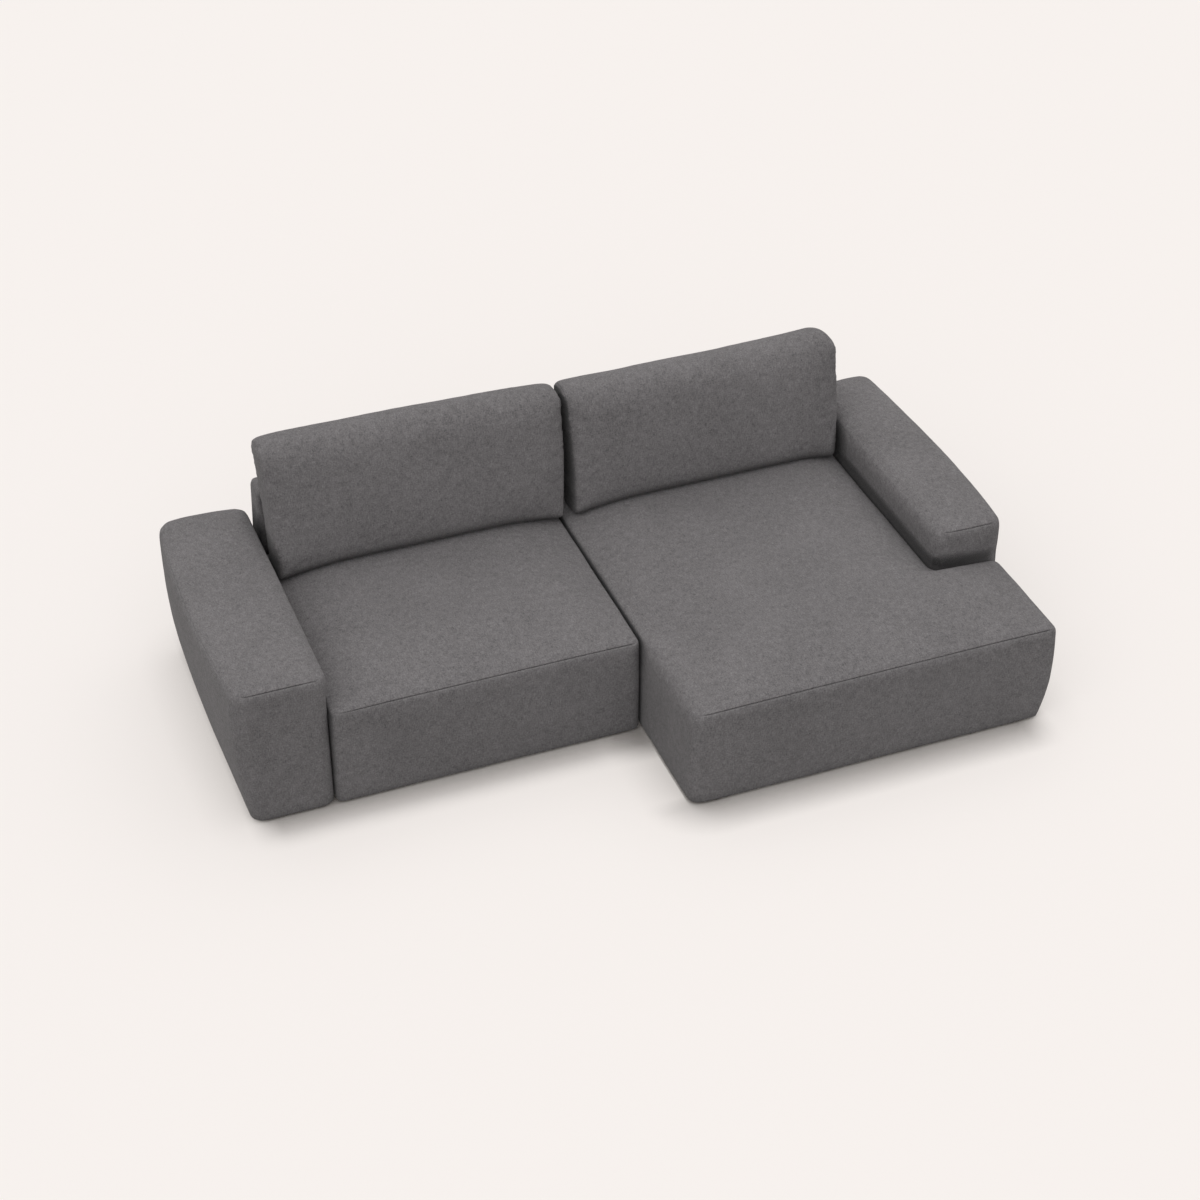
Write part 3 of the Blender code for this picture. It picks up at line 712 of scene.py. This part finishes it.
def uneven(item, amount, inner=lambda at: False):
    """Moves the skin in and out a little, as padding lies under cloth."""
    def depth(at):
        return 0.0 if inner(at) else amount * sum(share * noise.noise(at * features) for share, features in SWELLS)
    push(item, depth)


def dress(item, body, nodes):
    """Gives a cover its cloth and its body, and hides the frame nodes that it stands for."""
    item.data.materials.clear()
    item.data.materials.append(cloth_finish())
    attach(item, body)
    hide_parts(*nodes)


def under(hollows):
    """A test for points that belong to the inside of a cover."""
    margin = 0.004

    def inner(at):
        return any(x0 - margin < at.x < x1 + margin and y0 - margin < at.y < y1 + margin and at.z < top + margin
                   for x0, y0, x1, y1, top in hollows)
    return inner


def frame_hollow(node):
    """The hollow that a box frame fills, in plan and with its top."""
    low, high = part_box(node)
    return (low.x - TOUCH, low.y - TOUCH, high.x + TOUCH, high.y + TOUCH, high.z + TOUCH)


class SOFA_OT_studio(bpy.types.Operator):
    """Makes the floor, the light and the camera"""

    bl_idname = "sofa.studio"
    bl_label = "Studio"

    def execute(self, context):
        self.floor(context.scene.sofa_studio)
        self.light(context.scene.sofa_studio)
        self.camera()
        context.scene.view_settings.view_transform = "Standard"
        return {"FINISHED"}

    def floor(self, studio):
        bm = bmesh.new()
        bmesh.ops.create_grid(bm, x_segments=1, y_segments=1, size=40.0)
        item = new_object("floor", bm)
        item.data.materials.append(self.floor_finish(studio))

    def floor_finish(self, studio):
        """Pale where it is seen, with the shadow that falls on it, a painted shadow at the hem, and duller in the
        light it gives back.
        """
        recipe = Recipe("studio_floor")
        red, green, blue = studio.floor
        given_back, lit, painted_shadow = [recipe.node("ShaderNodeBsdfDiffuse", {}, {"Color": (*colour, 1.0)}) for colour in (
            (studio.bounce, studio.bounce * 0.98, studio.bounce * 0.95),
            (red * 0.99, green, blue * 1.02),
            (0.03, 0.02, 0.015),
        )]
        plain = recipe.node("ShaderNodeEmission", {}, {"Color": (red * 1.02, green, blue * 0.96, 1.0),
                                                       "Strength": studio.floor_light})
        # Painted shadow: a near-black sheet mixed into the floor where the hem closes it in
        shown = recipe.mix(self.hem_shadow(recipe, studio), recipe.mix(studio.plain_share, lit, plain), painted_shadow)
        final = recipe.mix(seen_rays(recipe), given_back, shown)
        recipe.fill(recipe.tree.nodes["Material Output"].inputs["Surface"], final)
        recipe.tree.nodes.remove(recipe.shader)
        return recipe.material

    def hem_shadow(self, recipe, studio):
        """How much the painted shadow at the hem darkens the floor: less past the outer sides and beside the chaise.
        """
        x, y, _ = recipe.place()
        past_sides, beside_chaise = 0.15, 0.3
        aside = recipe.fade(x.size(), *SHADOW_SIDES, past_sides)
        rows = recipe.fade(y, *SHADOW_SEAT_ROWS, 0.0).most(recipe.fade(y, *SHADOW_CHAISE_ROWS, 1.0, 0.0))
        kept = rows.most(x > CHAISE[0].x) * (1 - beside_chaise) + beside_chaise
        return recipe.closed(studio.contact) * aside * kept * (2 * studio.contact_share)

    def light(self, studio):
        world = bpy.data.worlds.new("studio_sky")
        bpy.context.scene.world = world
        recipe = Recipe("studio_sky", world)
        tint = (1.0, 0.985, 0.975, 1.0)
        level, overhead = [recipe.node("ShaderNodeBackground", {}, {"Color": tint, "Strength": studio.sky * share})
                           for share in (studio.sky_level, studio.sky_overhead)]
        light = recipe.mix(recipe.place_of("Generated")[2], level, overhead)
        pale = recipe.node("ShaderNodeBackground", {}, {"Color": shade(studio.floor, 1.0)})
        final = recipe.mix(seen_rays(recipe), light, pale)
        recipe.fill(recipe.tree.nodes["World Output"].inputs["Surface"], final)
        self.lamp("overhead_lamp", LAMP_WAY, studio.lamp, studio.lamp_breadth)
        self.lamp("front_lamp", FILL_WAY, studio.fill, studio.fill_breadth)

    def lamp(self, name, way, strength, breadth):
        """A broad lamp that shines from one way."""
        data = bpy.data.lights.new(name, "SUN")
        data.energy = strength
        data.angle = breadth
        item = bpy.data.objects.new(name, data)
        item.rotation_euler = Vector(way).to_track_quat("Z", "Y").to_euler()
        bpy.context.scene.collection.objects.link(item)

    def camera(self):
        flat = Vector((math.sin(CAMERA_YAW), math.cos(CAMERA_YAW), 0.0)) * math.cos(CAMERA_PITCH)
        ahead = flat - Vector((0.0, 0.0, math.sin(CAMERA_PITCH)))
        level = Vector((math.cos(CAMERA_YAW), -math.sin(CAMERA_YAW), 0.0))
        upright = level.cross(ahead)
        right = math.cos(CAMERA_ROLL) * level + math.sin(CAMERA_ROLL) * upright
        up = math.cos(CAMERA_ROLL) * upright - math.sin(CAMERA_ROLL) * level
        data = bpy.data.cameras.new("camera")
        data.sensor_width = 36.0
        data.lens = CAMERA_LENS
        item = bpy.data.objects.new("camera", data)
        turn = Matrix((right, up, -ahead)).transposed().to_4x4()
        item.matrix_world = Matrix.Translation(CAMERA_PLACE) @ turn
        bpy.context.scene.collection.objects.link(item)
        bpy.context.scene.camera = item


class SOFA_OT_frame(bpy.types.Operator):
    """Finishes the boards, slats, runners, brackets, wheels and feet"""

    bl_idname = "sofa.frame"
    bl_label = "Frame"

    def execute(self, context):
        slots = {piece["node"]: piece["material_slot"] for piece in frame["record"]["subparts"]}
        steel = steel_finish()
        plastic = plastic_finish()
        for name, item in frame["nodes"].items():
            slot = slots[name]
            if slot == "fabric":
                continue
            if slot == "wood":
                low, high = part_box(name)
                size = high - low
                finish = wood_finish(max(range(3), key=lambda axis: size[axis]))
            else:
                finish = steel if slot == "steel" else plastic
            item.data.materials.clear()
            item.data.materials.append(finish)
        return {"FINISHED"}


class SOFA_OT_arms(bpy.types.Operator):
    """Makes the covers of the two arms"""

    bl_idname = "sofa.arms"
    bl_label = "Arms"

    def execute(self, context):
        for side, hand in (("left", -1), ("right", 1)):
            self.arm(context.scene.sofa_padding, side, hand)
        return {"FINISHED"}

    def arm(self, padding, side, hand):
        low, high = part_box(f"{side}_arm_pad")
        x0 = low.x + (ARM_SWELL if hand < 0 else 0.0)
        x1 = high.x - (ARM_SWELL if hand > 0 else 0.0)
        y0, y1 = low.y, high.y
        hollow = frame_hollow(f"{side}_arm_frame")
        cover = Cover(f"{side}_arm_cover", [(x0, y0, x1, y1)], [hollow], high.z - ARM_CROWN)
        outer = 3 if hand < 0 else 1
        cover.tucks = tuple(ARM_TUCK if i in (0, 2, outer) else NO_TUCK for i in range(4))
        cover.walls = (0.040, 0.040, 0.022, 0.040)

        def crown(x, y):
            reach = ARM_CROWN_REACH
            sides = ramp(x - x0, reach) * ramp(x1 - x, reach)
            return (ARM_CROWN + 0.004) * sides * ramp(y - y0, reach) * ramp(y1 - y, reach)

        def sewn(x, y):
            outward = (x1 - x) if hand < 0 else (x - x0)
            front = (1 - ease(y - y0, *FRONT_SEAM)) * ease(x - x0, 0.018, 0.060) * ease(x1 - x, 0.018, 0.060)
            outer_side = 0.55 * ease(outward, (x1 - x0) * 0.5, (x1 - x0) * 0.8) * hump(y, y0, y1) ** 0.5
            return max(front, outer_side)

        def bulge(x, y, z):
            """A swell of the outer side and the rear; the left arm leans in, and the right one is pinched low down."""
            inward = (x - x0) if hand < 0 else (x1 - x)
            share = near(inward, x1 - x0)
            rise = hump(z, HEM - 0.02, high.z + 0.35) ** 0.8
            run = 0.30 + 0.70 * hump(y, y0 - 0.05, y1 + 0.05)
            middle = hump(x, x0 - 0.03, x1 + 0.03)
            rear = near(y1 - y, 0.30) ** 2 * middle
            front = near(y - y0, 0.15) ** 2 * middle
            across = hand * padding.arm_bulge * share * rise * run
            along = ((0.024 if hand < 0 else 0.014) * rear - 0.004 * front) * rise
            if hand > 0:
                pinch = ARM_PINCH * math.exp(-((z - SEAT_TOP - 0.006) / 0.030) ** 2)
                across *= 1.0 - 0.5 * (y - y0) / (y1 - y0)
                across += pinch * near(share, 1 / 8)
                along += pinch * near(y - y0, 0.04)
            else:
                across += ARM_OVERHANG * ease(z, SEAT_TOP + 0.04, high.z) * near(share, 1 / 3)
            return Vector((across, along, 0.0))

        def corner(x, y, z):
            inner_front = hand > 0 and x < (x0 + x1) / 2 and y < y1 - 0.5
            return 0.070 if inner_front else padding.upright_edge

        cover.more_z = [SEAT_TOP + step for step in (-0.045, -0.018, 0.006, 0.030, 0.056)]
        cover.crown, cover.sewn, cover.bulge, cover.corner = crown, sewn, bulge, corner
        cover.edge = lambda x, y: padding.soft_edge * (0.75 if (x - x0 < x1 - x) == (hand < 0) else 1.0)
        item = cover.build()
        uneven(item, padding.unevenness * 0.8, under([hollow]))
        dress(item, "base", [f"{side}_arm_pad"])


class SOFA_OT_backs(bpy.types.Operator):
    """Makes the covers of the two lengths of the low back"""

    bl_idname = "sofa.backs"
    bl_label = "Backs"

    def execute(self, context):
        self.back(context.scene.sofa_padding, "left", BACK_LEAN)
        self.back(context.scene.sofa_padding, "right", 0.0)
        return {"FINISHED"}

    def back(self, padding, side, lean):
        low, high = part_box(f"{side}_back_pad")
        top = high.z - BACK_CROWN
        hollow = frame_hollow(f"{side}_back_frame")
        cover = Cover(f"{side}_back_cover", [(low.x, low.y, high.x, high.y)], [hollow], top)
        cover.tucks = (NO_TUCK, NO_TUCK, HEM_TUCK, NO_TUCK)
        cover.walls = (0.035, 0.035, 0.022, 0.010)
        cover.edge = lambda x, y: 0.026
        cover.corner = lambda x, y, z: 0.022
        cover.crown = lambda x, y: BACK_CROWN * ramp(y - low.y, 0.05) * ramp(high.y - y, 0.05)
        item = cover.build()
        uneven(item, padding.unevenness * 0.5, under([hollow]))
        for vert in item.data.vertices:
            vert.co.x += lean * (high.x - vert.co.x) / (high.x - low.x) * vert.co.z / top
        item.data.update()
        dress(item, "base", [f"{side}_back_pad"])


def block_crown(box, x, y):
    """Height of a block's crown above its front and its sides."""
    low, high = box
    sides = ramp(x - low.x, CROWN_REACH) * ramp(high.x - x, CROWN_REACH)
    return SEAT_CROWN * sides * ramp(y - low.y, CROWN_REACH)


def seat_crown(x, y):
    return block_crown(SEAT, x, y)


def chaise_crown(x, y):
    """Height of the chaise's crown, which also falls towards its notch."""
    arm_x, notch_y = CHAISE_ARM_BOARD[1].x, CHAISE_RIGHT[1].y
    clear = math.hypot(max(0.0, arm_x - x) / ARM_SIDE_FALL, max(0.0, notch_y - y) / NOTCH_FALL)
    return block_crown(CHAISE, x, y) * ramp(clear, CROWN_REACH)


def front_seam(low_x, high_x, front_y):
    """A seam along the front edge that fades out at both ends."""
    def sewn(x, y):
        ends = ease(x - low_x, 0.015, 0.070) * ease(high_x - x, 0.004, 0.040)
        return ends * (1 - ease(y - front_y, *FRONT_SEAM))
    return sewn


def front_swell(box, depth, x, y, z):
    """How far a block's front stands out at its middle, as a step along y."""
    low, high = box
    return -depth * hump(x, low.x, high.x) * hump(z, HEM, SEAT_TOP) * (1 - ease(y, low.y, low.y + SIDE_FADE))


class SOFA_OT_seat(bpy.types.Operator):
    """Makes the cover of the pull-out seat"""

    bl_idname = "sofa.seat"
    bl_label = "Seat"

    def execute(self, context):
        low, high = SEAT
        hollow = (SEAT_LEFT[1].x, SEAT_FRONT[1].y, SEAT_RIGHT[0].x, high.y, low.z)
        cover = Cover("seat_cover", [(low.x, low.y, high.x, high.y)], [hollow], SEAT_TOP)
        cover.crown = seat_crown
        cover.corner = lambda x, y, z: 0.026 if y < low.y + 0.10 else 0.006
        cover.edge = lambda x, y: 0.020
        cover.sewn = front_seam(low.x, high.x, low.y)
        cover.bulge = lambda x, y, z: Vector((0.0, front_swell(SEAT, 0.004, x, y, z), 0.0))
        item = cover.build()
        uneven(item, context.scene.sofa_padding.unevenness * 0.8, under([hollow]))
        dress(item, "seat", ["seat_pad", "seat_left_pad", "seat_right_pad", "seat_front_pad"])
        return {"FINISHED"}


class SOFA_OT_chaise(bpy.types.Operator):
    """Makes the cover of the chaise"""

    bl_idname = "sofa.chaise"
    bl_label = "Chaise"

    def execute(self, context):
        low, high = CHAISE
        arm_x, notch_y = CHAISE_ARM_BOARD[1].x, CHAISE_RIGHT[1].y
        left, front = CHAISE_LEFT[1].x, CHAISE_FRONT[1].y
        hollows = [(left, front, CHAISE_RIGHT[0].x, notch_y, low.z), (left, front, arm_x, high.y, low.z)]
        plans = [(low.x, low.y, high.x, notch_y), (low.x, low.y, arm_x, high.y)]
        cover = Cover("chaise_cover", plans, hollows, SEAT_TOP)
        cover.tucks = (HEM_TUCK, CHAISE_SIDE_TUCK, NO_TUCK, NO_TUCK)
        cover.walls = (0.035, 0.035, 0.010, 0.010)
        cover.crown = chaise_crown
        cover.fillet = 0.060

        def corner(x, y, z):
            if y > low.y + 0.10:
                return 0.030
            return 0.052 if x < low.x + 0.3 else 0.020 + 0.018 * (1 - ease(z, HEM, HEM + 0.30))

        def edge(x, y):
            return 0.016 + 0.040 * ease(SEAT[0].y - y, -0.02, 0.10) if x < low.x + 0.1 else 0.016

        def bulge(x, y, z):
            across = 0.009 * hump(z, HEM, SEAT_TOP + 0.05) * ease(x, high.x - SIDE_FADE, high.x)
            return Vector((across, front_swell(CHAISE, 0.005, x, y, z), 0.0))

        cover.corner, cover.edge, cover.bulge = corner, edge, bulge
        cover.sewn = front_seam(low.x, high.x, low.y)
        item = cover.build()
        uneven(item, context.scene.sofa_padding.unevenness, under(hollows))
        nodes = ["chaise_pad", "chaise_left_pad", "chaise_right_pad", "chaise_front_pad"]
        dress(item, "base", nodes)
        return {"FINISHED"}


class SOFA_OT_cushions(bpy.types.Operator):
    """Makes the two loose back cushions"""

    bl_idname = "sofa.cushions"
    bl_label = "Cushions"

    def execute(self, context):
        sizes = context.scene.sofa_cushions
        self.cushion(sizes, "left", seat_crown, LEFT_CUSHION)
        self.cushion(sizes, "right", chaise_crown, RIGHT_CUSHION)
        return {"FINISHED"}

    def cushion(self, sizes, side, crown, lie):
        low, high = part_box(f"{side}_back_cushion")
        ends = (low.x + lie["ends"][0], high.x + lie["ends"][1])
        half = Vector(((ends[1] - ends[0]) / 2, sizes.gusset / 2, sizes.height / 2))
        lines = [grid_lines({-h, h}, [s * (h - n) for n in NEAR_GUSSET for s in (-1, 1)]) for h in half]
        bm = cage(*lines, lambda x, y, z: True)
        for vert in bm.verts:
            vert.co = self.form(vert.co.copy(), sizes, half, lie)
        item = smooth_object(f"{side}_cushion_cover", bm)
        remesh = item.modifiers.new("remesh", "REMESH")
        remesh.mode = "VOXEL"
        remesh.voxel_size = CLOTH_FACE
        apply_modifiers(item)
        plump(item)
        subdivide(item, 1)
        self.sew(item, sizes, half)
        foot = SEAT[1].z + TOUCH
        middle = Vector(((ends[0] + ends[1]) / 2, 0.0, (foot + high.z) / 2))
        item.data.transform(Matrix.Translation(middle) @ Matrix.Rotation(-CUSHION_LEAN, 4, "X"))
        rear = max(vert.co.y for vert in item.data.vertices)
        item.data.transform(Matrix.Translation((0.0, high.y - rear, 0.0)))
        self.settle(item, sizes, crown, lie, middle.x, half.x)
        dress(item, f"{side}_cushion", [f"{side}_back_cushion"])

    def form(self, at, sizes, half, lie):
        """A box with a full roll along its top, soft corners, crowned faces and drawn-in ends."""
        end = 0 if at.x < 0 else 1
        roll, corner = (sizes.edge, lie["corners"][end]) if at.z > 0 else (sizes.foot_edge, sizes.corner)
        at += (self.bend(at, half, (0, 2), corner) + self.bend(at, half, (1, 2), roll)
               + self.bend(at, half, (0, 1), sizes.gusset_edge))
        face = ramp(half.x - abs(at.x), 0.20) * ramp(half.z - abs(at.z), 0.22)
        at.y += math.copysign(sizes.puff * face * min(1.0, abs(at.y) / half.y), at.y)
        along = at.x / half.x
        up = (at.z + half.z) / (2 * half.z)
        inset = sizes.waist * hump(up, 0.0, 1.0) + lie["slants"][end] * near(up, 1.0) ** 1.3
        at.x -= math.copysign(inset * abs(along) ** 6, along)
        left, middle, right = lie["tops"]
        curve = (left * along * (along - 1) + right * along * (along + 1)) / 2 + middle * (1 - along * along)
        at.z += curve * up ** 2
        return at

    def bend(self, at, half, axes, radius):
        """How far a point moves for the box's edges between two of its sides to turn into arcs."""
        away = Vector((0.0, 0.0, 0.0))
        for axis in axes:
            core = half[axis] - radius
            away[axis] = at[axis] - min(max(at[axis], -core), core)
        if away.length <= radius:
            return Vector((0.0, 0.0, 0.0))
        return away * (radius / away.length - 1)

    def sew(self, item, sizes, half):
        """Draws in the seams round both ends, and puckers the cloth beside them."""
        def depth(at):
            inward = half.x - abs(at.x)
            groove = math.exp(-((inward - sizes.gusset_edge * 0.35) / 0.0035) ** 2)
            pucker = noise.noise(Vector((at.x * 5, at.y * 9, at.z * 36)))
            pucker += 0.6 * noise.noise(Vector((at.x * 9, at.y * 15, at.z * 75)))
            return sizes.pucker * near(inward, 0.070) ** 2 * pucker - 0.0022 * groove
        push(item, depth)

    def settle(self, item, sizes, crown, lie, middle_x, half_w):
        """Seats the cushion on the crowned seat: its lower corners hang, and its foot spreads flat at the rear."""
        foot = min(vert.co.z for vert in item.data.vertices)
        for vert in item.data.vertices:
            at = vert.co
            side = 0 if at.x < middle_x else 1
            up = (at.z - foot) / sizes.height
            end = abs(at.x - middle_x) / half_w
            hang = sizes.droop * lie["falls"][side] * past(end, 0.40) ** 2
            rest = max(SEAT_TOP + crown(at.x, 0.5), SEAT[1].z - hang) - sizes.sink
            at.z += (rest - foot) * near(up, 0.55) ** 2
            at.z -= lie["shoulders"][side] * past(end, 0.84) ** 1.6 * past(up, 0.5)
            lowest = SEAT_TOP + crown(at.x, at.y) + 0.0015
            over = at.z - lowest
            at.z = lowest + 0.5 * (over + math.sqrt(over * over + 0.005 ** 2))
        item.data.update()
        uneven(item, 0.0022)


def plump(item):
    """Lets the cover settle round its filling under a little pressure."""
    scene = bpy.context.scene
    count = len(item.data.vertices)
    start = np.empty(count * 3)
    item.data.vertices.foreach_get("co", start)
    cloth = item.modifiers.new("cloth", "CLOTH")
    cloth.settings.quality = 5
    cloth.settings.use_pressure = True
    cloth.settings.uniform_pressure_force = 4.0
    cloth.settings.effector_weights.gravity = 0.0
    cloth.collision_settings.use_collision = False
    cloth.point_cache.frame_start = 1
    cloth.point_cache.frame_end = SETTLE_FRAMES
    for number in range(1, SETTLE_FRAMES + 1):
        scene.frame_set(number)
    settled = np.empty(count * 3)
    graph = bpy.context.evaluated_depsgraph_get()
    item.evaluated_get(graph).data.vertices.foreach_get("co", settled)
    item.modifiers.clear()
    scene.frame_set(1)
    move = (settled - start).reshape(-1, 3)
    far = np.linalg.norm(move, axis=1, keepdims=True)
    move *= np.minimum(1.0, SETTLE_LIMIT / np.maximum(far, TINY)) * SETTLE_SHARES
    item.data.vertices.foreach_set("co", start + move.ravel())
    item.data.update()


class SOFA_PT_panel(bpy.types.Panel):
    """Lists the steps that make the sofa bed"""

    bl_idname = "SOFA_PT_panel"
    bl_label = "Sofa Bed"
    bl_space_type = "VIEW_3D"
    bl_region_type = "UI"
    bl_category = "Sofa Bed"

    def draw(self, context):
        for group, kind in GROUPS.items():
            for name in kind.__annotations__:
                self.layout.prop(getattr(context.scene, group), name)
        for step in STEPS:
            self.layout.operator(step.bl_idname)


GROUPS = {"sofa_padding": SofaPadding, "sofa_cushions": SofaCushions, "sofa_cloth": SofaCloth,
          "sofa_studio": SofaStudio}
STEPS = (SOFA_OT_studio, SOFA_OT_frame, SOFA_OT_arms, SOFA_OT_backs, SOFA_OT_seat, SOFA_OT_chaise,
         SOFA_OT_cushions)


def register():
    for kind in (*GROUPS.values(), *STEPS, SOFA_PT_panel):
        bpy.utils.register_class(kind)
    for name, kind in GROUPS.items():
        setattr(bpy.types.Scene, name, bpy.props.PointerProperty(type=kind))


def unregister():
    for name in GROUPS:
        delattr(bpy.types.Scene, name)
    for kind in (SOFA_PT_panel, *reversed(STEPS), *GROUPS.values()):
        bpy.utils.unregister_class(kind)


def main():
    """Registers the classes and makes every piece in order."""
    register()
    bpy.ops.sofa.studio()
    bpy.ops.sofa.frame()
    bpy.ops.sofa.arms()
    bpy.ops.sofa.backs()
    bpy.ops.sofa.seat()
    bpy.ops.sofa.chaise()
    bpy.ops.sofa.cushions()


if __name__ == "__main__":
    main()
